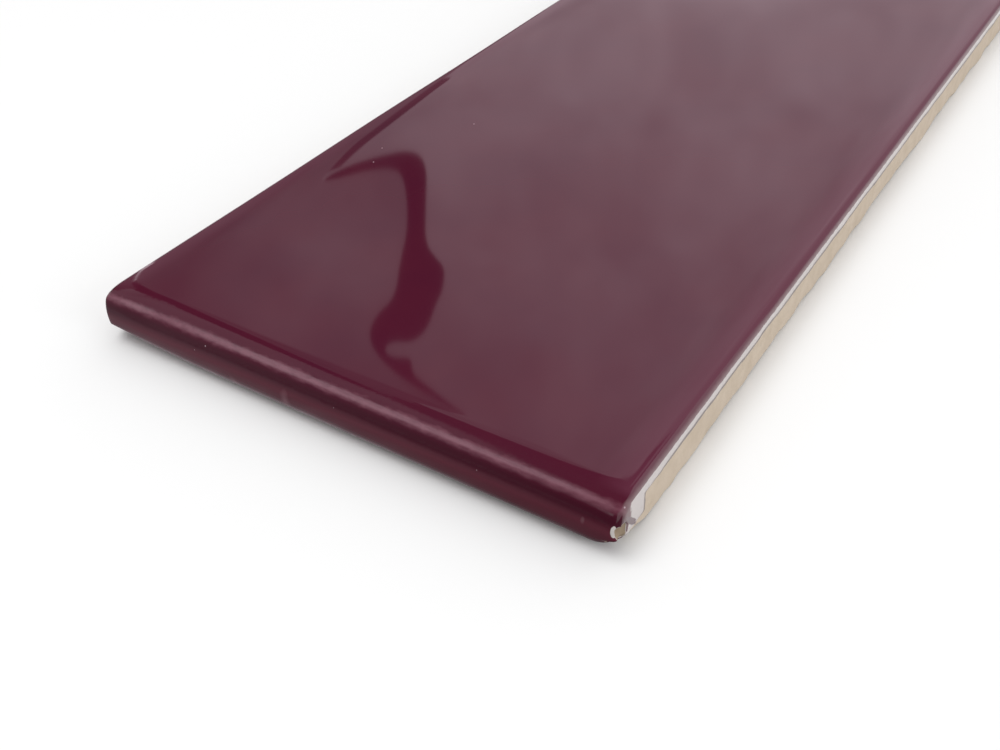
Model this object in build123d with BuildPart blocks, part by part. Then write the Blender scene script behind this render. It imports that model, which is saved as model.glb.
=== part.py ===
"""Glazed ceramic subway tile with one round edge, pressed and fired as a single piece.

The tile lies on its keyed back, at z = 0, with the glazed face up. Its width runs along X and its
length along Y, and the round edge is the short one at the -Y end. All sizes are in millimetres.
"""

import os
from math import ceil, cos, cosh, pi, radians, sin

from build123d import *

# Overall size: the classic two-to-one subway format
tile_length = 150.0
tile_width = 75.0
tile_thickness = 7.0

# Round edge: a broad roll down from the face and a tighter heel, with a land between them
nose_radius = 4.0
heel_radius = 2.0
land_height = 0.4

# Arris that softens the two long sides and the square end
arris_radius = 1.0

# Cushioned rim: the face falls by cushion_drop at its rim and levels off within a few cushion_reach
cushion_drop = 0.35
cushion_reach = 2.5

# Slow crossed waves that the face settles in: crest above trough, crest to crest, and headings from +X
wave_height = 0.12
wave_length = 44.0
wave_headings = (30.0, -65.0)

# Adhesive key in the back: parallel grooves with sloped walls, inside a plain border
border_width = 6.0
groove_width = 5.0
groove_depth = 0.8
groove_slope = 20.0
rib_width = 2.5


def places_across(span):
    """Places one cushion_reach or less apart, across a span and two reaches past each side of it."""
    full = span + 4 * cushion_reach
    steps = ceil(full / cushion_reach)
    return [full * (i / steps - 0.5) for i in range(steps + 1)]


def cushion_fall(place, span):
    """Fall of the cushion at a place across a span: cushion_drop at both rims, next to none inside."""
    return cushion_drop * cosh(place / cushion_reach) / cosh(span / 2 / cushion_reach)


def wave_fall(x, y):
    """Fall of the face below its highest crest, from nothing to wave_height."""
    runs = [x * cos(radians(heading)) + y * sin(radians(heading)) for heading in wave_headings]
    swings = [cos(2 * pi * run / wave_length) for run in runs]
    return wave_height * (1 - sum(swings) / len(swings)) / 2


def face_height(x, y):
    """Height of the glazed face, cushioned at both long sides and at the square end."""
    fall = wave_fall(x, y) + cushion_fall(x, tile_width)
    if y > 0:
        fall += cushion_fall(y, tile_length)
    return tile_thickness - fall


waved_face = Face.make_surface_from_array_of_points(
    [[(x, y, face_height(x, y)) for y in places_across(tile_length)] for x in places_across(tile_width)],
    tol=wave_height / 20,
    min_deg=3,
    max_deg=8,
)

with BuildPart() as tile:
    # Pressed blank, trimmed by the waved face
    with BuildSketch():
        Rectangle(tile_width, tile_length)
    extrude(amount=tile_thickness + wave_height)
    split(bisect_by=waved_face, keep=Keep.BOTTOM)

    # Round edge at the -Y end, with the heel kept to what the roll and the land leave of that end's height
    end_height = tile_thickness - wave_height - cushion_drop
    heel = min(heel_radius, end_height - nose_radius - land_height)
    round_end = tile.faces().sort_by(Axis.Y)[0]
    fillet(round_end.edges().sort_by(Axis.Z)[-1], nose_radius)
    round_end = tile.faces().sort_by(Axis.Y)[0]
    fillet(round_end.edges().sort_by(Axis.Z)[0], heel)

    # Arris round both long sides, nose included, and round the square end
    long_sides = tile.faces().filter_by(Axis.X)
    square_end = tile.faces().sort_by(Axis.Y)[-1]
    fillet(long_sides.edges() + square_end.edges().filter_by(Axis.Z, reverse=True), arris_radius)

    # Adhesive key, cut up into the back
    groove_pitch = groove_width + rib_width
    groove_count = int((tile_width - 2 * border_width + rib_width) // groove_pitch)
    with BuildSketch():
        with GridLocations(groove_pitch, 0, groove_count, 1):
            SlotOverall(tile_length - 2 * border_width, groove_width, rotation=90)
    extrude(amount=groove_depth, taper=groove_slope, mode=Mode.SUBTRACT)

tile.part.label = "tile"
os.makedirs("parts", exist_ok=True)
export_step(tile.part, "parts/tile.step")
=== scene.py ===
"""Looks of the subway tile: one fired piece with a burgundy glaze, a white slip under it and bare clay sides.

The tile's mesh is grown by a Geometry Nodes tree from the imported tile's own box. Sizes are given in
millimetres and turned to metres, in which Blender works.
"""

from math import cos, pi, radians, sin, tan

import bpy
from mathutils import Matrix, Vector
from mathutils.interpolate import poly_3d_calc


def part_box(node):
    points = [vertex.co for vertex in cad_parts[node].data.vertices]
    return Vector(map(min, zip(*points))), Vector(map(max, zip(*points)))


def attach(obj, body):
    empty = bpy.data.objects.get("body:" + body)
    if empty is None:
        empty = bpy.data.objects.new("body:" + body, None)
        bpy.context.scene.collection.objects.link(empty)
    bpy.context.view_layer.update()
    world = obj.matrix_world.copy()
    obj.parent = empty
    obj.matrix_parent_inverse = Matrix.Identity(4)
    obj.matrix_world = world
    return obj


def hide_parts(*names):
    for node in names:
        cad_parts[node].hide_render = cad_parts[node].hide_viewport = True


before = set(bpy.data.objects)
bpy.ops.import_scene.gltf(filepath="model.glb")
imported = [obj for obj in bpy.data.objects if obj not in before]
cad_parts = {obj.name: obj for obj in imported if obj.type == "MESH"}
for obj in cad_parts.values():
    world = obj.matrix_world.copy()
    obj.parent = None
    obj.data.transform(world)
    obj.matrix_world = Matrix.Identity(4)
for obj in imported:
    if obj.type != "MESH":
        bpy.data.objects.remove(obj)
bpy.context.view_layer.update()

MM = 0.001

# Tile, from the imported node's box, the rows of its mesh across, along and up, and the angle of a crease
low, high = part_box("tile")
tile_size = high - low
mesh_rows = (81, 221, 61)
crease_angle = radians(25.0)

# Edges of the tile: roll and heel of the round edge, the arris of the other edges, and the foot of the sides
nose_radius = 4.0 * MM
heel_radius = 2.7 * MM
arris_radius = 1.0 * MM
foot_radius = 0.25 * MM

# Left side: its softer arris and foot, the tighter roll at that end, and how far in the roll takes to widen
left_arris = 1.1 * MM
left_foot = 1.3 * MM
left_nose = 3.1 * MM
left_run = 10.0 * MM

# Uneven foot of the right side: width of its patches, the least and most of the foot's radius that they take,
# and the stretch of the noise's values that spans them
foot_patch = 7.0 * MM
foot_shares = (0.4, 5.0)
noise_range = (0.35, 0.65)

# Flats of the roll, spread evenly over its quarter turn: how many there are and how deep they are
roll_flats = 2
roll_flat = 0.09 * MM

# Cushioned rim and slow waves of the face
cushion_drop = 0.35 * MM
cushion_reach = 2.5 * MM
wave_height = 0.12 * MM
wave_length = 44.0 * MM
wave_headings = (30.0, -65.0)

# Slip under the glaze: how far down the bare sides it runs, how much slower it runs in from the nose, how
# ragged its edge is and how wide the rags are, and how far the clay lies under it
slip_depth = 2.5 * MM
nose_share = 0.42
slip_ragged = 0.7 * MM
rag_width = 4.0 * MM
clay_recess = 0.12 * MM

# Patch of slip at the near right corner: height of its foot, and where and how steeply that drops to the nose
patch_foot = 1.9 * MM
patch_start = 2.5 * MM
patch_slope = 2.0

# Crest of the roll, where the glaze is thin and a highlight is painted: how far round it lies and half
# its spread
crest_turn = radians(41.0)
crest_half = radians(16.0)

# Worn feet of the near corners: side, lift, and how far the wear runs across and along the tile, in mm
worn_corners = [(1, 2.5, 3.2, 10.0), (-1, 1.6, 20.0, 5.0)]

# Near left corner, rubbed blunt: the way it faces, how far in from its tip the rub starts, and the share that
# it takes off
rub_way = Vector((-0.8, -0.6, 0.0))
rub_start = 0.7 * MM
rub_share = 0.55

# Chips at the near right corner: centre, half sizes and depth in mm, the way they were struck, how much of a
# chip is its floor, and the width and share of the crumbs that roughen its outline
chips = [((37.25, -73.8, 3.0), (0.9, 0.95, 1.45), 0.35), ((36.5, -74.7, 2.2), (0.6, 0.5, 0.35), 0.25)]
chip_way = (-0.7, 0.7, 0.1)
chip_floor = 0.7
crumb_width = 0.9 * MM
crumb_share = 0.7

# Spots on the surface: centre and half sizes in mm, lean in degrees, where the spot starts and is full in
# shares of its size, colour and roughness. They are glaze that ran over the slip, slip at the chip's edge,
# and pale smears low on the round edge. spot_fray is how much their edges fray.
spots = [
    ((37.5, -71.87, 3.05), (1.0, 0.38, 1.8), 38.0, 1.1, 0.8, "#7d6a70", 0.15),
    ((36.95, -74.5, 3.6), (0.3, 0.4, 0.8), 0.0, 1.1, 1.0, "#cdc6c2", 0.3),
    ((-5.6, -75.0, 2.2), (0.7, 0.8, 1.8), 0.0, 1.2, 0.1, "#7d525c", 0.14),
    ((-14.1, -75.0, 1.8), (0.7, 0.6, 0.8), 0.0, 1.2, 0.1, "#7d525c", 0.14),
    ((33.7, -74.9, 3.9), (0.25, 0.4, 0.45), 0.0, 1.2, 0.1, "#6d4650", 0.14),
]
spot_fray = 0.6

# Light specks in the glaze, in mm, and one painted highlight: the glint high on the near right corner,
# at 37.27, -72.9, 5.77
speck_radius = 0.12
specks_and_glint = [
    (-20.28, -74.8, 4.22), (-18.53, -74.33, 5.16), (1.9, -74.72, 4.44), (21.2, -74.75, 4.35),
    (37.27, -72.9, 5.77), (-20.79, -14.5, 6.94), (-28.87, -27.29, 6.94), (-27.21, -31.36, 6.94),
]

# Adhesive key in the back, and the sides of a slot's round ends and its overlap past the back that cut it
groove_count = 8
groove_pitch = 7.5 * MM
groove_width = 5.0 * MM
groove_length = 138.0 * MM
groove_depth = 0.8 * MM
groove_slope = 20.0
slot_sides = 24
slot_overlap = 0.5 * MM

# Widths of the material's patterns: pools of glaze, shreds of its thin edge, streaks of its crest, its orange
# peel, and the sand and grit of the clay. The grit is drawn coarser than it is, so that it shows.
pool_width = 12.0 * MM
shred_width = 0.8 * MM
streak_width = 0.6 * MM
peel_width = 0.7 * MM
sand_width = 2.0 * MM
grit_width = 0.4 * MM

# How far the edges of the glaze and of the clay fray, how much the painted shadow under the slip's edge
# thins out towards the nose, and the heights of the orange peel and of the grit
glaze_fray = 0.3 * MM
clay_fray = 0.12 * MM
step_shadow_fade = 0.4 * MM
peel_height = 0.008 * MM
grit_height = 0.04 * MM

# Camera: where it stands, how it is turned, and its focal length in pixels of the 1000 x 750 picture
picture_width = 1000
picture_height = 750
camera_eye = Vector((68.9, -132.6, 78.1)) * MM
camera_azimuth = 37.0
camera_elevation = 39.4
camera_roll = -5.1
focal_pixels = 1030.0

# Floor: its width in metres, and how far it lies under the tile, so that the two faces don't fight
floor_width = 4.0
floor_drop = 0.01 * MM

# Studio light: strength of the white tent as light, in front and behind, the soft key lamp, and the fill for
# the bare side. Places and widths are in metres, and powers in watts.
tent_front = 0.45
tent_back = 1.0
key_place = Vector((-0.25, -0.25, 0.95))
key_width = 0.7
key_power = 4.0
fill_place = Vector((0.9, -0.1, 0.3))
fill_width = 0.5
fill_power = 2.5

# What the cards share: their tint, and the width in degrees and the contrast of their faint clouds, with the
# stretch of the noise's values that spans it
card_tint = "#fff0f8"
cloud_width = 5.0
cloud_contrast = 0.16
cloud_range = (0.3, 0.7)

# Outlines in pixels of the picture: the crown of the far panel, the dark line along the roll, the foot of the
# shade on the roll, the roll's light crest, the dark gap that winds over the face, its branch, and the glint
# at the left corner
panel_crown = [(394, 396), (426, 409), (458, 420.5), (490, 432.5), (523, 445.5), (560, 460), (585, 469),
               (611, 477), (622, 479), (630, 477), (637, 472), (649, 455), (662, 441), (672, 431)]
roll_line_top = [(134, 280.5), (152, 291), (174, 299.7), (217, 319.5), (264, 340.3), (313, 363), (367, 386.3),
                 (382, 393.8)]
roll_line_foot = [(381, 394.6), (365, 389), (311, 365.6), (260, 344), (213, 323.4), (169, 304), (147, 295.2),
                  (126.5, 286)]
roll_shade_foot = [(394, 401), (423, 413.5), (453, 427), (485, 441), (515, 457.5), (545, 471), (575, 484),
                   (600, 495)]
crest_top = [(129.5, 300), (201, 329.8), (293, 368.6), (397, 412.2), (460, 439), (515, 462), (584, 490)]
crest_foot = [(581, 493.6), (511.5, 466.2), (457, 443), (393.5, 417.1), (290.5, 374.3), (198.5, 335.3),
              (126.8, 304.8)]
gap_left = [(466, 415), (404, 381), (376, 355), (368, 335), (376, 315), (395, 298), (400, 262), (408, 228),
            (406, 185), (397, 168), (368, 170), (340, 178), (319, 182)]
gap_right = [(345, 167), (376, 157), (412, 149), (427, 163), (426, 200), (425, 243), (436, 258), (445, 268),
             (443, 290), (436, 304), (427, 330), (412, 343), (392, 341), (383, 350), (393, 358), (412, 357),
             (412, 374), (436, 399)]
gap_foot = [(420, 408)]
branch_left = [(328, 172), (352, 146), (376, 128), (411, 101), (436, 83), (446, 77)]
branch_right = [(452, 78), (440, 86), (418, 103), (383, 130), (360, 148), (340, 167)]
glint_out = [(134.2, 280.6), (135.5, 276.7), (138.1, 272.5), (141.9, 268.8), (147, 265.2), (153.3, 262)]
glint_in = [(154.5, 263), (148, 266.8), (143.1, 270), (139.5, 273.7), (137.1, 277.1), (135.9, 280.6)]

# Cards that the glaze mirrors. Each has a name, the stretches of its outline, a distance in metres and a pool
# of light: the heading and height of the pool's middle and its reach, in degrees, and its brightness in the
# middle and at its reach. A stretch in the room has headings and heights in degrees, seen from the round
# edge, and a stretch in the picture has pixels that the tile mirrors it into.
ROOM, PICTURE = "room", "picture"
cards = [
    ("dark_ceiling", [(ROOM, [(heading, 33) for heading in range(-180, 180, 15)])],
     20.0, (0, 90, 60, 0.04, 0.04)),
    ("far_panel", [(ROOM, [(40, 5), (-75, 5), (-17, 78)])],
     8.0, (-15, 28, 27, 1.0, 0.6)),
    ("dark_roof", [(PICTURE, panel_crown), (ROOM, [(25, 50), (60, 80), (-120, 82)]),
                   (PICTURE, roll_shade_foot[::-1])],
     1.7, (0, 90, 60, 0.04, 0.04)),
    ("side_panel", [(PICTURE, roll_line_top + roll_shade_foot),
                    (ROOM, [(-140, 68), (-165, 60), (-165, 22), (-120, 20), (-84, 26)])],
     8.0, (-100, 50, 60, 0.5, 0.3)),
    ("side_lamp", [(PICTURE, crest_top + crest_foot)],
     4.0, (-120, 35, 60, 1.85, 1.25)),
    ("dark_foot", [(ROOM, [(-90, -2), (-90, 18), (-120, 20), (-165, 22), (-200, 35), (-225, 30), (-225, -2),
                           (-165, -2)])],
     6.0, (-120, 8, 40, 0.3, 0.0)),
    ("dim_panel", [(PICTURE, gap_left + branch_left), (ROOM, [(-36, 8), (-80, 8), (-78, 30)]),
                   (PICTURE, roll_line_top), (PICTURE, gap_foot)],
     2.0, (-48, 33, 10, 0.56, 0.26)),
    ("dark_skirt", [(ROOM, [(-36, -2), (-80, -2), (-80, 15), (-56, 15), (-45, 13), (-36, 10)])],
     1.9, (-60, 5, 60, 0.12, 0.12)),
    ("dark_line", [(PICTURE, roll_line_top + roll_line_foot)],
     1.6, (-70, 45, 60, 0.0, 0.0)),
    ("dark_corner", [(PICTURE, glint_out), (ROOM, [(-61.5, -5), (-82, -5), (-82, 36), (-66, 33)])],
     1.55, (-70, 15, 60, 0.12, 0.12)),
    ("corner_glint", [(PICTURE, glint_out + glint_in)],
     1.5, (-60, 20, 60, 1.8, 1.8)),
    ("dark_gap", [(PICTURE, gap_left + gap_right)],
     1.6, (-45, 30, 60, 0.0, 0.0)),
    ("dark_branch", [(PICTURE, branch_left + branch_right)],
     1.6, (-45, 30, 60, 0.1, 0.1)),
]

# Floor in front of the round edge, as the glaze mirrors it: name, corners and height in mm, and pool of light
floor_strips = [
    ("dark_floor", [(-400, -500), (400, -500), (400, -72), (-400, -72)], 0.04, (-150, 0, 55, 0.05, 0.05)),
    ("pale_floor", [(-200, -185), (60, -95), (60, -72), (-200, -72)], 0.05, (-150, 0, 55, 0.42, 0.13)),
]


def add(tree, kind, *inputs, named=None, **settings):
    """Add a node with its settings, and link or set its inputs, by place and then by name."""
    node = tree.nodes.new(kind)
    for name, value in settings.items():
        setattr(node, name, value)
    for key, value in [*enumerate(inputs), *(named or {}).items()]:
        if isinstance(value, bpy.types.Node):
            value = value.outputs[0]
        if isinstance(value, bpy.types.NodeSocket):
            tree.links.new(value, node.inputs[key])
        elif value is not None:
            node.inputs[key].default_value = value
    return node


def colour(hexcode):
    """Linear RGBA of an sRGB hex colour."""
    parts = [int(hexcode[i:i + 2], 16) / 255 for i in (1, 3, 5)]
    return [p / 12.92 if p <= 0.04045 else ((p + 0.055) / 1.055) ** 2.4 for p in parts] + [1.0]


def rounded_place(tree, size, extent, half):
    """Where a point of the block goes when its rows crowd to the rims and its edges are rolled."""
    # Rows that crowd towards the edges, where the surface turns
    start = add(tree, "GeometryNodeInputPosition")
    share = add(tree, "ShaderNodeVectorMath", start, extent, operation="DIVIDE")
    turn = add(tree, "ShaderNodeVectorMath", share, (pi, pi, pi), operation="MULTIPLY")
    crowd = add(tree, "ShaderNodeVectorMath", turn, operation="SINE")
    point = add(tree, "ShaderNodeVectorMath", crowd, half, operation="MULTIPLY")
    half_x, half_y, half_z = add(tree, "ShaderNodeSeparateXYZ", half).outputs
    x, y, z = add(tree, "ShaderNodeSeparateXYZ", point).outputs

    # Radius of the edge that the point is nearest to
    middle = add(tree, "ShaderNodeMath", size["Heel Radius"], half_z, operation="SUBTRACT")
    upper = add(tree, "FunctionNodeCompare", z, middle, operation="GREATER_THAN")
    front = add(tree, "FunctionNodeCompare", y, 0.0, operation="LESS_THAN")
    left_end = add(tree, "ShaderNodeMath", half_x, -1.0, operation="MULTIPLY")
    nibbled = add(tree, "ShaderNodeTexNoise", point, named={"Scale": 1 / foot_patch, "Detail": 2.0})
    uneven = add(tree, "ShaderNodeMapRange", nibbled.outputs["Fac"], *noise_range, *foot_shares)
    right_foot = add(tree, "ShaderNodeMath", size["Foot Radius"], uneven, operation="MULTIPLY")
    foot = add(tree, "ShaderNodeMapRange", x, left_end, half_x, size["Left Foot"], right_foot)
    arris = add(tree, "ShaderNodeMapRange", x, left_end, half_x, size["Left Arris"], size["Arris Radius"])
    rise = add(tree, "ShaderNodeMapRange", z, middle, 0.0, foot, arris, interpolation_type="SMOOTHSTEP")
    run_end = add(tree, "ShaderNodeMath", left_end, size["Left Run"], operation="ADD")
    nose = add(tree, "ShaderNodeMapRange", x, left_end, run_end, size["Left Nose"], size["Nose Radius"],
               interpolation_type="SMOOTHSTEP")
    round_edge = add(tree, "GeometryNodeSwitch", upper, size["Heel Radius"], nose, input_type="FLOAT")
    radius = add(tree, "GeometryNodeSwitch", front, rise, round_edge, input_type="FLOAT")

    # Core of the tile that the edges roll round, first across Y and Z, then with the arris across X
    core_top = add(tree, "ShaderNodeMath", half_z, radius, operation="SUBTRACT")
    core_foot = add(tree, "ShaderNodeMath", radius, half_z, operation="SUBTRACT")
    core_end = add(tree, "ShaderNodeMath", half_y, radius, operation="SUBTRACT")
    core_start = add(tree, "ShaderNodeMath", radius, half_y, operation="SUBTRACT")
    core_side = add(tree, "ShaderNodeMath", half_x, rise, operation="SUBTRACT")
    core_other = add(tree, "ShaderNodeMath", rise, half_x, operation="SUBTRACT")
    lifted = add(tree, "ShaderNodeMath", z, core_foot, operation="MAXIMUM")
    lowered = add(tree, "ShaderNodeMath", z, core_top, operation="MINIMUM")
    core = add(
        tree, "ShaderNodeCombineXYZ",
        add(tree, "ShaderNodeClamp", x, core_other, core_side),
        add(tree, "ShaderNodeClamp", y, core_start, core_end),
        add(tree, "GeometryNodeSwitch", upper, lifted, lowered, input_type="FLOAT"),
    )
    off = add(tree, "ShaderNodeVectorMath", point, core, operation="SUBTRACT")
    reach = add(tree, "ShaderNodeVectorMath", off, (0.0, 1.0, 1.0), operation="MULTIPLY")
    reach_length = add(tree, "ShaderNodeVectorMath", reach, operation="LENGTH").outputs["Value"]
    inner = add(tree, "ShaderNodeMath", radius, rise, operation="SUBTRACT")
    part = add(tree, "ShaderNodeMath", inner, reach_length, operation="DIVIDE", use_clamp=True)
    shift = add(tree, "ShaderNodeVectorMath", reach, named={"Scale": part}, operation="SCALE")
    pivot = add(tree, "ShaderNodeVectorMath", core, shift, operation="ADD")
    away = add(tree, "ShaderNodeVectorMath", point, pivot, operation="SUBTRACT")
    outward = add(tree, "ShaderNodeVectorMath", away, operation="NORMALIZE")
    roll = add(tree, "ShaderNodeVectorMath", outward, named={"Scale": rise}, operation="SCALE")
    return add(tree, "ShaderNodeVectorMath", pivot, roll, operation="ADD")


def settled_place(tree, size, half, rounded):
    """Where a rounded point goes when the face falls, the roll is flattened and the back lies at zero."""
    half_x, half_y, half_z = add(tree, "ShaderNodeSeparateXYZ", half).outputs
    x, y, z = add(tree, "ShaderNodeSeparateXYZ", rounded).outputs

    # Fall of the face: cushion along the long sides and the square end, and two crossed waves
    across = add(tree, "ShaderNodeMath", x, operation="ABSOLUTE")
    falls = []
    for place, edge in ((across, half_x), (y, half_y)):
        inside = add(tree, "ShaderNodeMath", place, edge, operation="SUBTRACT")
        reaches = add(tree, "ShaderNodeMath", inside, size["Cushion Reach"], operation="DIVIDE")
        fade = add(tree, "ShaderNodeMath", reaches, operation="EXPONENT")
        falls.append(add(tree, "ShaderNodeMath", fade, size["Cushion Drop"], operation="MULTIPLY"))
    for heading in wave_headings:
        way = (cos(radians(heading)), sin(radians(heading)), 0.0)
        run = add(tree, "ShaderNodeVectorMath", rounded, way, operation="DOT_PRODUCT").outputs["Value"]
        waves = add(tree, "ShaderNodeMath", run, size["Wave Length"], operation="DIVIDE")
        phase = add(tree, "ShaderNodeMath", waves, 2 * pi, operation="MULTIPLY")
        swing = add(tree, "ShaderNodeMath", phase, operation="COSINE")
        trough = add(tree, "ShaderNodeMath", 1.0, swing, operation="SUBTRACT")
        trough_share = add(tree, "ShaderNodeMath", trough, 0.5 / len(wave_headings), operation="MULTIPLY")
        falls.append(add(tree, "ShaderNodeMath", trough_share, size["Wave Height"], operation="MULTIPLY"))
    fall = falls[0]
    for more in falls[1:]:
        fall = add(tree, "ShaderNodeMath", fall, more, operation="ADD")
    nose_foot = add(tree, "ShaderNodeMath", half_z, size["Nose Radius"], operation="SUBTRACT")
    arris_foot = add(tree, "ShaderNodeMath", half_z, size["Arris Radius"], operation="SUBTRACT")
    on_top = add(tree, "ShaderNodeMapRange", z, nose_foot, arris_foot, interpolation_type="SMOOTHSTEP")
    fallen = add(tree, "ShaderNodeMath", fall, on_top, operation="MULTIPLY")
    height = add(tree, "ShaderNodeMath", z, fallen, operation="SUBTRACT")
    raised = add(tree, "ShaderNodeMath", height, half_z, operation="ADD")

    # Flats of the roll, before and after its crest
    nose_start = add(tree, "ShaderNodeMath", size["Nose Radius"], half_y, operation="SUBTRACT")
    ahead = add(tree, "ShaderNodeMath", nose_start, y, operation="SUBTRACT")
    above = add(tree, "ShaderNodeMath", z, nose_foot, operation="SUBTRACT")
    angle = add(tree, "ShaderNodeMath", ahead, above, operation="ARCTAN2")
    turned = add(tree, "ShaderNodeClamp", angle, 0.0, pi / 2)
    flats = add(tree, "ShaderNodeMath", turned, 4.0 * roll_flats, operation="MULTIPLY")
    swing = add(tree, "ShaderNodeMath", flats, operation="COSINE")
    half_swing = add(tree, "ShaderNodeMath", swing, 0.5, operation="MULTIPLY")
    dip_share = add(tree, "ShaderNodeMath", 0.5, half_swing, operation="SUBTRACT")
    dip = add(tree, "ShaderNodeMath", dip_share, size["Roll Flat"], operation="MULTIPLY")
    sine = add(tree, "ShaderNodeMath", turned, operation="SINE")
    cosine = add(tree, "ShaderNodeMath", turned, operation="COSINE")
    back = add(tree, "ShaderNodeMath", sine, dip, operation="MULTIPLY")
    down = add(tree, "ShaderNodeMath", cosine, dip, operation="MULTIPLY")
    return add(
        tree, "ShaderNodeCombineXYZ", x,
        add(tree, "ShaderNodeMath", y, back, operation="ADD"),
        add(tree, "ShaderNodeMath", raised, down, operation="SUBTRACT"),
    )


def coat_depths(tree, size, half):
    """How far a point lies past the rim of the glaze, past the edge of the slip, and into bare clay."""
    half_x, half_y, _ = add(tree, "ShaderNodeSeparateXYZ", half).outputs
    spot = add(tree, "GeometryNodeInputPosition")
    x, y, z = add(tree, "ShaderNodeSeparateXYZ", spot).outputs
    across = add(tree, "ShaderNodeMath", x, operation="ABSOLUTE")
    below = add(tree, "ShaderNodeMath", size["Thickness"], z, operation="SUBTRACT")
    inside = add(tree, "ShaderNodeMath", half_x, across, operation="SUBTRACT")
    behind = add(tree, "ShaderNodeMath", y, half_y, operation="ADD")
    before = add(tree, "ShaderNodeMath", half_y, y, operation="SUBTRACT")

    # Patch of slip at the near right corner, which ends at a foot that drops towards the nose
    to_start = add(tree, "ShaderNodeMath", behind, patch_start, operation="MINIMUM")
    past_start = add(tree, "ShaderNodeMath", to_start, patch_slope, -patch_slope * patch_start,
                     operation="MULTIPLY_ADD")
    past_foot = add(tree, "ShaderNodeMath", slip_depth + patch_foot, z, operation="SUBTRACT")
    under_patch = add(tree, "ShaderNodeMath", past_foot, past_start, operation="ADD")
    on_right = add(tree, "ShaderNodeMath", x, 0.0, operation="GREATER_THAN")
    low_right = add(tree, "ShaderNodeMath", under_patch, on_right, operation="MULTIPLY")

    # Rim of the glaze: depth down a side, in from the nose, or down the square end
    inward = add(tree, "ShaderNodeMath", behind, nose_share, operation="MULTIPLY")
    run_in = add(tree, "ShaderNodeMath", below, inward, operation="MINIMUM")
    down = add(tree, "ShaderNodeMath", run_in, low_right, operation="MAXIMUM")
    side_depth = add(tree, "ShaderNodeMath", down, inside, operation="SUBTRACT")
    end_depth = add(tree, "ShaderNodeMath", below, before, operation="SUBTRACT")
    rim = add(tree, "ShaderNodeMath", side_depth, end_depth, operation="MAXIMUM")

    # Bare clay: past the ragged edge of the slip, and all over the back with its grooves
    ragged = add(tree, "ShaderNodeTexNoise", spot, named={"Scale": 1 / rag_width, "Detail": 3.0})
    stray = add(tree, "ShaderNodeMath", ragged.outputs["Fac"], 0.5, operation="SUBTRACT")
    strayed = add(tree, "ShaderNodeMath", stray, size["Slip Ragged"], operation="MULTIPLY")
    ragged_rim = add(tree, "ShaderNodeMath", rim, strayed, operation="ADD")
    past = add(tree, "ShaderNodeMath", ragged_rim, size["Slip Depth"], operation="SUBTRACT")
    under = add(tree, "ShaderNodeMath", size["Foot Radius"], z, operation="SUBTRACT")
    to_end = add(tree, "ShaderNodeMath", behind, before, operation="MINIMUM")
    margin = add(tree, "ShaderNodeMath", inside, to_end, operation="MINIMUM")
    within = add(tree, "ShaderNodeMath", margin, size["Nose Radius"], operation="SUBTRACT")
    low_down = add(tree, "ShaderNodeMath", size["Heel Radius"], z, operation="SUBTRACT")
    keyed = add(tree, "ShaderNodeMath", within, low_down, operation="MINIMUM")
    back = add(tree, "ShaderNodeMath", under, keyed, operation="MAXIMUM")
    bare = add(tree, "ShaderNodeMath", past, back, operation="MAXIMUM")
    return rim, past, bare


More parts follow.
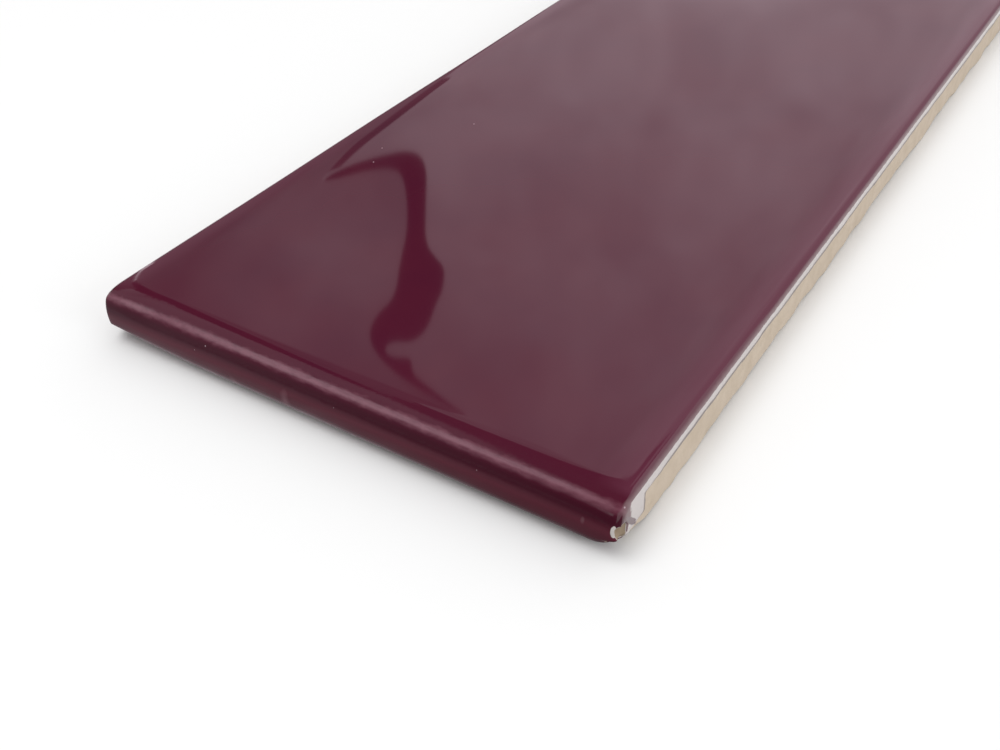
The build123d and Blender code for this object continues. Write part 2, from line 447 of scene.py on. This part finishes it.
def worn_shift(tree, size, half, past):
    """How far a point is moved by wear: clay set back under the slip, worn feet and the blunt left corner."""
    half_x, half_y, half_z = add(tree, "ShaderNodeSeparateXYZ", half).outputs
    spot = add(tree, "GeometryNodeInputPosition")
    x, y, z = add(tree, "ShaderNodeSeparateXYZ", spot).outputs

    # Clay set back under the slip, on the upright faces
    normal = add(tree, "GeometryNodeInputNormal").outputs[0]
    inward = add(tree, "ShaderNodeVectorMath", normal, (-1.0, -1.0, 0.0), operation="MULTIPLY")
    set_back = add(tree, "ShaderNodeMapRange", past, 0.0, size["Clay Recess"], 0.0, size["Clay Recess"])
    moved = add(tree, "ShaderNodeVectorMath", inward, named={"Scale": set_back.outputs[0]}, operation="SCALE")

    # Worn feet of the near corners
    behind = add(tree, "ShaderNodeMath", y, half_y, operation="ADD")
    foot_share = add(tree, "ShaderNodeMapRange", z, 0.0, half_z, 1.0, 0.0, interpolation_type="SMOOTHSTEP")
    for side, lift_mm, across_mm, along_mm in worn_corners:
        toward_side = add(tree, "ShaderNodeMath", x, side, operation="MULTIPLY")
        to_side = add(tree, "ShaderNodeMath", half_x, toward_side, operation="SUBTRACT")
        far_x = add(tree, "ShaderNodeMath", to_side, across_mm * MM, operation="DIVIDE")
        far_y = add(tree, "ShaderNodeMath", behind, along_mm * MM, operation="DIVIDE")
        from_corner = add(tree, "ShaderNodeCombineXYZ", far_x, far_y)
        off_corner = add(tree, "ShaderNodeVectorMath", from_corner, operation="LENGTH").outputs["Value"]
        worn = add(tree, "ShaderNodeMath", 1.0, off_corner, operation="SUBTRACT", use_clamp=True)
        worn_away = add(tree, "ShaderNodeMath", worn, worn, operation="MULTIPLY")
        lift_share = add(tree, "ShaderNodeMath", worn_away, foot_share, operation="MULTIPLY")
        lift = add(tree, "ShaderNodeMath", lift_share, lift_mm * MM, operation="MULTIPLY")
        lifted = add(tree, "ShaderNodeCombineXYZ", 0.0, 0.0, lift)
        moved = add(tree, "ShaderNodeVectorMath", moved, lifted, operation="ADD")

    # Near left corner, rubbed blunt
    corner_x = tile_size.x / 2 - left_arris
    corner_y = tile_size.y / 2 - left_arris
    tip = left_arris - rub_way.x * corner_x - rub_way.y * corner_y
    out = add(tree, "ShaderNodeVectorMath", spot, rub_way, operation="DOT_PRODUCT").outputs["Value"]
    proud = add(tree, "ShaderNodeMath", out, tip - rub_start, operation="SUBTRACT")
    rubbed = add(tree, "ShaderNodeMath", proud, 0.0, operation="MAXIMUM")
    taken = add(tree, "ShaderNodeMath", rubbed, -rub_share, operation="MULTIPLY")
    blunted = add(tree, "ShaderNodeVectorMath", rub_way, named={"Scale": taken.outputs[0]}, operation="SCALE")
    return add(tree, "ShaderNodeVectorMath", moved, blunted, operation="ADD")


def strike_chips(tree, body):
    """The body with chips scooped out of its corner, and how near a point lies to the middle of a chip."""
    spot = add(tree, "GeometryNodeInputPosition")
    noise = add(tree, "ShaderNodeTexNoise", spot, named={"Scale": 1 / crumb_width, "Detail": 2.0})
    crumbs = noise.outputs["Fac"]
    chipped = None
    for centre, half_sizes, depth_mm in chips:
        middle = [MM * c for c in centre]
        halves = [MM * h for h in half_sizes]
        from_middle = add(tree, "ShaderNodeVectorMath", spot, middle, operation="SUBTRACT")
        scaled = add(tree, "ShaderNodeVectorMath", from_middle, halves, operation="DIVIDE")
        off_middle = add(tree, "ShaderNodeVectorMath", scaled, operation="LENGTH").outputs["Value"]
        evened = add(tree, "ShaderNodeMath", off_middle, crumb_share / 2, operation="SUBTRACT")
        span = add(tree, "ShaderNodeMath", crumbs, crumb_share, evened, operation="MULTIPLY_ADD")
        nearness = add(tree, "ShaderNodeMapRange", span, 0.0, 1.0, 1.0, 0.0)
        scoop = add(tree, "ShaderNodeMapRange", span, chip_floor, 1.0, depth_mm * MM, 0.0).outputs[0]
        dent = add(tree, "ShaderNodeVectorMath", chip_way, named={"Scale": scoop}, operation="SCALE")
        body = add(tree, "GeometryNodeSetPosition", body, None, None, dent)
        chipped = add(tree, "ShaderNodeMath", chipped, nearness, operation="MAXIMUM") if chipped else nearness
    return body, chipped


def cut_key(tree, size, body):
    """The body with its adhesive key: drafted slots with round ends, cut into the back."""
    draft = tan(radians(groove_slope))
    groove_half = add(tree, "ShaderNodeMath", size["Groove Width"], 0.5, operation="MULTIPLY")
    narrowing = add(tree, "ShaderNodeMath", size["Groove Depth"], draft, operation="MULTIPLY")
    inner_half = add(tree, "ShaderNodeMath", groove_half, narrowing, operation="SUBTRACT")
    outer_half = add(tree, "ShaderNodeMath", groove_half, slot_overlap * draft, operation="ADD")
    slot_height = add(tree, "ShaderNodeMath", size["Groove Depth"], slot_overlap, operation="ADD")
    stub = add(tree, "GeometryNodeMeshCone", slot_sides, 1, 1, inner_half, outer_half, slot_height,
               fill_type="NGON")
    sunk_stub = add(tree, "GeometryNodeTransform", stub,
                    named={"Translation": (0.0, 0.0, -slot_overlap), "Rotation": (0.0, 0.0, pi / slot_sides)})

    # Round stub drawn out to a slot: its two halves move to the slot's ends
    run_out = add(tree, "ShaderNodeMath", size["Groove Length"], 0.5, operation="MULTIPLY")
    spread = add(tree, "ShaderNodeMath", run_out, groove_half, operation="SUBTRACT")
    y = add(tree, "ShaderNodeSeparateXYZ", add(tree, "GeometryNodeInputPosition")).outputs["Y"]
    end_way = add(tree, "ShaderNodeMath", y, operation="SIGN")
    end_shift = add(tree, "ShaderNodeMath", spread, end_way, operation="MULTIPLY")
    drawn = add(tree, "ShaderNodeCombineXYZ", 0.0, end_shift)
    slot = add(tree, "GeometryNodeSetPosition", sunk_stub, None, None, drawn)

    # Row of slots across the back
    first = add(tree, "ShaderNodeMath", size["Groove Pitch"], (1 - groove_count) / 2, operation="MULTIPLY")
    row = add(tree, "GeometryNodeMeshLine", groove_count, None, add(tree, "ShaderNodeCombineXYZ", first),
              add(tree, "ShaderNodeCombineXYZ", size["Groove Pitch"]))
    slots = add(tree, "GeometryNodeInstanceOnPoints", row, None, slot)
    cutters = add(tree, "GeometryNodeRealizeInstances", slots)
    return add(tree, "GeometryNodeMeshBoolean", body, cutters, operation="DIFFERENCE", solver="MANIFOLD")


def grow_tile(material):
    """The tile's mesh: a block, rounded, cushioned and waved by rule, then worn, chipped and keyed."""
    tree = bpy.data.node_groups.new("pressed_tile", "GeometryNodeTree")
    sizes = {
        "Width": tile_size.x, "Length": tile_size.y, "Thickness": tile_size.z,
        "Nose Radius": nose_radius, "Heel Radius": heel_radius, "Arris Radius": arris_radius,
        "Foot Radius": foot_radius, "Left Arris": left_arris, "Left Foot": left_foot,
        "Left Nose": left_nose, "Left Run": left_run, "Roll Flat": roll_flat,
        "Cushion Drop": cushion_drop, "Cushion Reach": cushion_reach,
        "Wave Height": wave_height, "Wave Length": wave_length, "Slip Depth": slip_depth,
        "Slip Ragged": slip_ragged, "Clay Recess": clay_recess, "Groove Pitch": groove_pitch,
        "Groove Width": groove_width, "Groove Length": groove_length, "Groove Depth": groove_depth,
    }
    for name in sizes:
        tree.interface.new_socket(name, in_out="INPUT", socket_type="NodeSocketFloat")
    tree.interface.new_socket("Geometry", in_out="OUTPUT", socket_type="NodeSocketGeometry")
    size = add(tree, "NodeGroupInput").outputs

    # Shape, wear, chips and key
    extent = add(tree, "ShaderNodeCombineXYZ", size["Width"], size["Length"], size["Thickness"])
    half = add(tree, "ShaderNodeVectorMath", extent, (0.5, 0.5, 0.5), operation="MULTIPLY")
    block = add(tree, "GeometryNodeMeshCube", extent, *mesh_rows)
    rounded = rounded_place(tree, size, extent, half)
    shaped = add(tree, "GeometryNodeSetPosition", block, None, settled_place(tree, size, half, rounded))
    rim, past, bare = coat_depths(tree, size, half)
    worn = add(tree, "GeometryNodeSetPosition", shaped, None, None, worn_shift(tree, size, half, past))
    struck, chipped = strike_chips(tree, worn)
    told = cut_key(tree, size, struck)

    # What the material reads: depth past the rim, into bare clay and into a chip
    for name, value in (("rim", rim), ("bare", bare), ("chip", chipped)):
        told = add(tree, "GeometryNodeStoreNamedAttribute", told, None, name, value)
    angle = add(tree, "GeometryNodeInputMeshEdgeAngle").outputs["Unsigned Angle"]
    crease = add(tree, "FunctionNodeCompare", angle, crease_angle, operation="GREATER_THAN")
    smooth = add(tree, "GeometryNodeSetShadeSmooth", told, None, True)
    creased = add(tree, "GeometryNodeSetShadeSmooth", smooth, crease, False, domain="EDGE")
    whole = add(tree, "GeometryNodeRealizeInstances", creased)
    glazed = add(tree, "GeometryNodeSetMaterial", whole, named={"Material": material})
    add(tree, "NodeGroupOutput", glazed)

    # Plain mesh of what the tree makes
    piece = bpy.data.objects.new("glazed_tile", bpy.data.meshes.new("glazed_tile"))
    bpy.context.scene.collection.objects.link(piece)
    modifier = piece.modifiers.new("pressed_tile", "NODES")
    modifier.node_group = tree
    for socket in tree.interface.items_tree:
        if socket.in_out == "INPUT":
            modifier[socket.identifier] = sizes[socket.name]
    evaluated = piece.evaluated_get(bpy.context.evaluated_depsgraph_get())
    mesh = bpy.data.meshes.new_from_object(evaluated)
    piece.modifiers.clear()
    piece.data = mesh
    return piece


def glazed_biscuit():
    """Burgundy gloss glaze over white slip on pressed, fired clay."""
    # A thick glaze is a dark, wet-looking mirror. It runs thin over the edges, where the white slip shows
    # through it as lilac, and stops above the sides, which stay matt, sandy clay.
    material = bpy.data.materials.new("glazed_biscuit")
    material.use_nodes = True
    tree = material.node_tree
    shader = tree.nodes["Principled BSDF"]
    shader.inputs["IOR"].default_value = 1.5
    spot = add(tree, "ShaderNodeTexCoord").outputs["Object"]
    _, along, height = add(tree, "ShaderNodeSeparateXYZ", spot).outputs
    rim, bare, chip = [add(tree, "ShaderNodeAttribute", attribute_name=name).outputs["Fac"]
                       for name in ("rim", "bare", "chip")]
    nose_line = low.y + nose_radius

    # Frayed edges of the glaze and the clay, and the two colours that are patchy
    pools, shreds, sands = [
        add(tree, "ShaderNodeTexNoise", spot, named={"Scale": 1 / width, "Detail": 3.0}).outputs["Fac"]
        for width in (pool_width, shred_width, sand_width)
    ]
    shred = add(tree, "ShaderNodeMath", shreds, 0.5, operation="SUBTRACT")
    frayed = add(tree, "ShaderNodeMath", shred, glaze_fray, rim, operation="MULTIPLY_ADD")
    crumbled = add(tree, "ShaderNodeMath", shred, clay_fray, bare, operation="MULTIPLY_ADD")
    # Painted shadow: a grey line under the slip's edge, fading out towards the nose
    shadow_fade_share = add(tree, "ShaderNodeMapRange", along, nose_line, nose_line + 2 * nose_radius, step_shadow_fade, 0.0)
    painted_step_shadow = add(tree, "ShaderNodeMath", crumbled, shadow_fade_share, operation="SUBTRACT")
    burgundy = add(tree, "ShaderNodeMix", data_type="RGBA",
                   named={0: pools, 6: colour("#48152a"), 7: colour("#521a2b")}).outputs[2]
    clay = add(tree, "ShaderNodeMix", data_type="RGBA",
               named={0: sands, 6: colour("#c9b8a3"), 7: colour("#e2d2c0")}).outputs[2]

    # How far round the roll a point lies, and how near to its crest, where the glaze breaks into streaks
    # and a highlight is painted
    ahead = add(tree, "ShaderNodeMath", nose_line, along, operation="SUBTRACT")
    above = add(tree, "ShaderNodeMath", height, high.z - nose_radius, operation="SUBTRACT")
    roll_turn = add(tree, "ShaderNodeMath", ahead, above, operation="ARCTAN2")
    lengthwise = add(tree, "ShaderNodeVectorMath", spot, (0.4, 1.0, 1.0), operation="MULTIPLY")
    streaks = add(tree, "ShaderNodeTexNoise", lengthwise, named={"Scale": 1 / streak_width, "Detail": 2.0})
    from_crest = add(tree, "ShaderNodeMath", roll_turn, crest_turn, operation="SUBTRACT")
    off_crest = add(tree, "ShaderNodeMath", from_crest, operation="ABSOLUTE")
    crest = add(tree, "ShaderNodeMath", off_crest, -1 / crest_half, 0.5, operation="MULTIPLY_ADD")
    crest_streaks_and_highlight = add(tree, "ShaderNodeMath", streaks.outputs["Fac"], crest, operation="ADD")

    # Spots, with frayed edges, and light specks, one of them a painted glint
    spot_coats = []
    for centre, half_sizes, lean, start, full, hexcode, roughness in spots:
        sized = add(tree, "ShaderNodeMapping", spot, [MM * c for c in centre], (radians(lean), 0.0, 0.0),
                    [MM * h for h in half_sizes], vector_type="TEXTURE")
        off_middle = add(tree, "ShaderNodeVectorMath", sized, operation="LENGTH").outputs["Value"]
        frayed_spot = add(tree, "ShaderNodeMath", shred, spot_fray, off_middle, operation="MULTIPLY_ADD")
        spot_coats.append((frayed_spot, start, full, colour(hexcode), roughness))
    near_speck_or_glint = None
    for centre in specks_and_glint:
        off_speck = add(tree, "ShaderNodeVectorMath", spot, [MM * c for c in centre], operation="DISTANCE")
        near_speck_or_glint = add(tree, "ShaderNodeMath", off_speck.outputs["Value"], near_speck_or_glint or 1.0,
                         operation="MINIMUM").outputs[0]

    # Coats over the glaze, each with what it follows, where it starts and where it is full, its colour and
    # roughness: the thin rim, the roll's start, the streaky crest of thin glaze with a painted highlight,
    # painted shade low on the roll and a painted reflection of the floor at its foot, then the lilac edge,
    # the white slip, the painted shadow under its edge and the clay, then spots, chips, and specks with one
    # painted glint
    coats = [
        (rim, -4.0 * MM, -0.3 * MM, colour("#5b293a"), 0.05),
        (roll_turn, radians(8), radians(22), burgundy, 0.1),
        # Partly painted highlight: the crest's thin, streaky glaze, drawn paler where the light falls on it
        (crest_streaks_and_highlight, 0.35, 1.05, colour("#744452"), 0.2),
        # Painted shade on the roll's front, below its crest
        (roll_turn, radians(47), radians(56), colour("#431524"), 0.14),
        # Painted reflection of the floor, paler at the roll's foot
        (roll_turn, radians(66), radians(79), colour("#5b2231"), 0.14),
        (frayed, 0.35 * MM, 1.1 * MM, colour("#806468"), 0.1),
        (frayed, 1.16 * MM, 1.28 * MM, colour("#d4cccb"), 0.22),
        # Painted shadow under the slip's edge
        (painted_step_shadow, -0.45 * MM, -0.36 * MM, colour("#857a78"), 0.4),
        (crumbled, -0.02 * MM, 0.06 * MM, clay, 0.9),
        *spot_coats,
        (chip, 0.02, 0.06, colour("#cdc6c2"), 0.5),
        (chip, 0.06, 0.1, colour("#9a8873"), 0.9),
        # Light specks, and a painted highlight: the glint high on the near right corner
        (near_speck_or_glint, speck_radius * MM, 0.6 * speck_radius * MM, colour("#b39aa2"), 0.2),
    ]
    face, gloss = burgundy, 0.04
    for follows, start, full, coat, roughness in coats:
        mask = add(tree, "ShaderNodeMapRange", follows, start, full).outputs[0]
        face = add(tree, "ShaderNodeMix", data_type="RGBA", named={0: mask, 6: face, 7: coat}).outputs[2]
        gloss = add(tree, "ShaderNodeMix", named={0: mask, 2: gloss, 3: roughness}).outputs[0]
    tree.links.new(face, shader.inputs["Base Color"])
    tree.links.new(gloss, shader.inputs["Roughness"])

    # Relief: orange peel of the glaze on the round edge, and grit of the clay
    peel, grit = [
        add(tree, "ShaderNodeTexNoise", spot, named={"Scale": 1 / width, "Detail": 1.0}).outputs["Fac"]
        for width in (peel_width, grit_width)
    ]
    on_nose = add(tree, "ShaderNodeMapRange", along, nose_line, nose_line - nose_radius / 2, 0.0, peel_height)
    on_clay = add(tree, "ShaderNodeMapRange", bare, 0.0, 0.1 * MM, 0.0, grit_height)
    peeled = add(tree, "ShaderNodeMath", peel, on_nose, operation="MULTIPLY")
    relief = add(tree, "ShaderNodeMath", grit, on_clay, peeled, operation="MULTIPLY_ADD")
    bump = add(tree, "ShaderNodeBump", named={"Strength": 1.0, "Distance": 1.0, "Height": relief})
    tree.links.new(bump.outputs["Normal"], shader.inputs["Normal"])
    return material


tile = grow_tile(glazed_biscuit())
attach(tile, "root")
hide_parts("tile")

# Floor: a plain white sweep, which throws less light back up at the tile than it shows
bpy.ops.mesh.primitive_plane_add(size=floor_width, location=(0.0, 0.0, -floor_drop))
floor = bpy.context.object
floor.name = "floor"
floor_paint = bpy.data.materials.new("white_floor")
floor_paint.use_nodes = True
floor_tree = floor_paint.node_tree
floor_shader = floor_tree.nodes["Principled BSDF"]
floor_path = add(floor_tree, "ShaderNodeLightPath").outputs
bounced = add(floor_tree, "ShaderNodeMix", data_type="RGBA",
              named={0: floor_path["Is Diffuse Ray"], 6: colour("#f5f5f5"), 7: colour("#a8a8a8")}).outputs[2]
floor_tree.links.new(bounced, floor_shader.inputs["Base Color"])
floor_shader.inputs["Roughness"].default_value = 0.9
floor.data.materials.append(floor_paint)

# Camera
turn_z = radians(camera_azimuth)
tilt = radians(camera_elevation)
lean = radians(camera_roll)
backward = Vector((sin(turn_z) * cos(tilt), -cos(turn_z) * cos(tilt), sin(tilt)))
level_right = Vector((cos(turn_z), sin(turn_z), 0.0))
level_up = backward.cross(level_right)
right = level_right * cos(lean) + level_up * sin(lean)
up = level_up * cos(lean) - level_right * sin(lean)
lens = bpy.data.cameras.new("camera")
lens.sensor_fit = "HORIZONTAL"
lens.sensor_width = 36.0
lens.lens = lens.sensor_width * focal_pixels / picture_width
lens.clip_start = 5 * MM
camera = bpy.data.objects.new("camera", lens)
camera.matrix_world = Matrix.Translation(camera_eye) @ Matrix((right, up, backward)).transposed().to_4x4()
bpy.context.scene.collection.objects.link(camera)
bpy.context.scene.camera = camera

# World: white where it is seen or mirrored, dimmer as light
world = bpy.data.worlds.new("white_tent")
bpy.context.scene.world = world
world.use_nodes = True
tent = world.node_tree
backdrop = tent.nodes["Background"]
tent_path = add(tent, "ShaderNodeLightPath").outputs
shown = tent_path["Is Camera Ray"]
for ray_kind in ("Is Glossy Ray", "Is Transmission Ray"):
    shown = add(tent, "ShaderNodeMath", shown, tent_path[ray_kind], operation="MAXIMUM")
look = add(tent, "ShaderNodeSeparateXYZ", add(tent, "ShaderNodeTexCoord").outputs["Generated"])
lit = add(tent, "ShaderNodeMapRange", look.outputs["Y"], -1.0, 1.0, tent_front, tent_back)
glow = add(tent, "ShaderNodeMapRange", shown, 0.0, 1.0, lit, 1.0)
tent.links.new(glow.outputs[0], backdrop.inputs["Strength"])
backdrop.inputs["Color"].default_value = colour("#ffffff")

# Lamps: a wide soft key overhead and a fill for the bare side, which the glaze doesn't mirror
for name, place, width, power in (("key_light", key_place, key_width, key_power),
                                  ("fill_light", fill_place, fill_width, fill_power)):
    lamp = bpy.data.lights.new(name, "AREA")
    lamp.size = width
    lamp.energy = power
    light = bpy.data.objects.new(name, lamp)
    light.location = place
    light.rotation_euler = (-place).to_track_quat("-Z", "Y").to_euler()
    light.visible_glossy = False
    bpy.context.scene.collection.objects.link(light)


def toward(azimuth, elevation):
    """Unit vector that looks to a heading, counted from +Y to +X, and a height."""
    a, e = radians(azimuth), radians(elevation)
    return Vector((sin(a) * cos(e), cos(a) * cos(e), sin(e)))


def mirrored(across, down, distance):
    """Point at a distance that the tile mirrors into a pixel of the picture."""
    ray = right * (across - picture_width / 2) - up * (down - picture_height / 2) - backward * focal_pixels
    ray.normalize()
    met, start, _, face = tile.ray_cast(camera_eye, ray)
    if not met:
        raise ValueError(f"pixel {across}, {down} misses the tile")
    corners = [tile.data.vertices[v] for v in tile.data.polygons[face].vertices]
    shares = poly_3d_calc([c.co for c in corners], start)
    facing = sum((c.normal * share for c, share in zip(corners, shares)), Vector()).normalized()
    return start + ray.reflect(facing) * distance


def eased(points):
    """An outline in the picture with its corners cut twice, and its two ends kept."""
    for _ in range(2):
        cut = [points[0]]
        for a, b in zip(points, points[1:]):
            cut += [(a[0] + (b[0] - a[0]) * part, a[1] + (b[1] - a[1]) * part) for part in (0.25, 0.75)]
        points = cut + [points[-1]]
    return points


def card(name, outline, pool):
    """A card that shows only in the glaze, with a soft, slightly cloudy pool of light on it."""
    mesh = bpy.data.meshes.new(name)
    mesh.from_pydata(outline, [], [range(len(outline))])
    panel = bpy.data.objects.new(name, mesh)
    bpy.context.scene.collection.objects.link(panel)
    panel.visible_camera = False
    panel.visible_diffuse = False
    panel.visible_shadow = False
    panel.visible_transmission = False
    paint = bpy.data.materials.new(name)
    paint.use_nodes = True
    paint.cycles.emission_sampling = "NONE"
    tree = paint.node_tree
    tree.nodes.remove(tree.nodes["Principled BSDF"])
    azimuth, elevation, reach, middle_light, reach_light = pool
    spot = add(tree, "ShaderNodeTexCoord").outputs["Object"]
    way = add(tree, "ShaderNodeVectorMath", spot, operation="NORMALIZE")
    nearness = add(tree, "ShaderNodeVectorMath", way, toward(azimuth, elevation), operation="DOT_PRODUCT")
    pooled = add(tree, "ShaderNodeMapRange", nearness.outputs["Value"], 1.0, cos(radians(reach)),
                 middle_light, reach_light)
    clouds = add(tree, "ShaderNodeTexNoise", way, named={"Scale": 1 / radians(cloud_width), "Detail": 2.0})
    cloudy = add(tree, "ShaderNodeMapRange", clouds.outputs["Fac"], *cloud_range,
                 1 - cloud_contrast, 1 + cloud_contrast)
    strength = add(tree, "ShaderNodeMath", pooled, cloudy, operation="MULTIPLY")
    emission = add(tree, "ShaderNodeEmission", colour(card_tint), strength)
    tree.links.new(emission.outputs[0], tree.nodes["Material Output"].inputs["Surface"])
    mesh.materials.append(paint)


# Cards and floor strips, once the tile's mesh is there to be looked at
bpy.context.view_layer.update()
nose_middle = Vector((0.0, low.y + nose_radius, high.z))
for name, stretches, distance, pool in cards:
    outline = []
    for kind, points in stretches:
        if kind == PICTURE:
            outline += [mirrored(*p, distance) for p in eased(points)]
        else:
            outline += [nose_middle + toward(*p) * distance for p in points]
    card(name, outline, pool)
for name, corners, lift, pool in floor_strips:
    card(name, [Vector((across * MM, along * MM, lift * MM)) for across, along in corners], pool)

bpy.context.scene.view_settings.view_transform = "Standard"
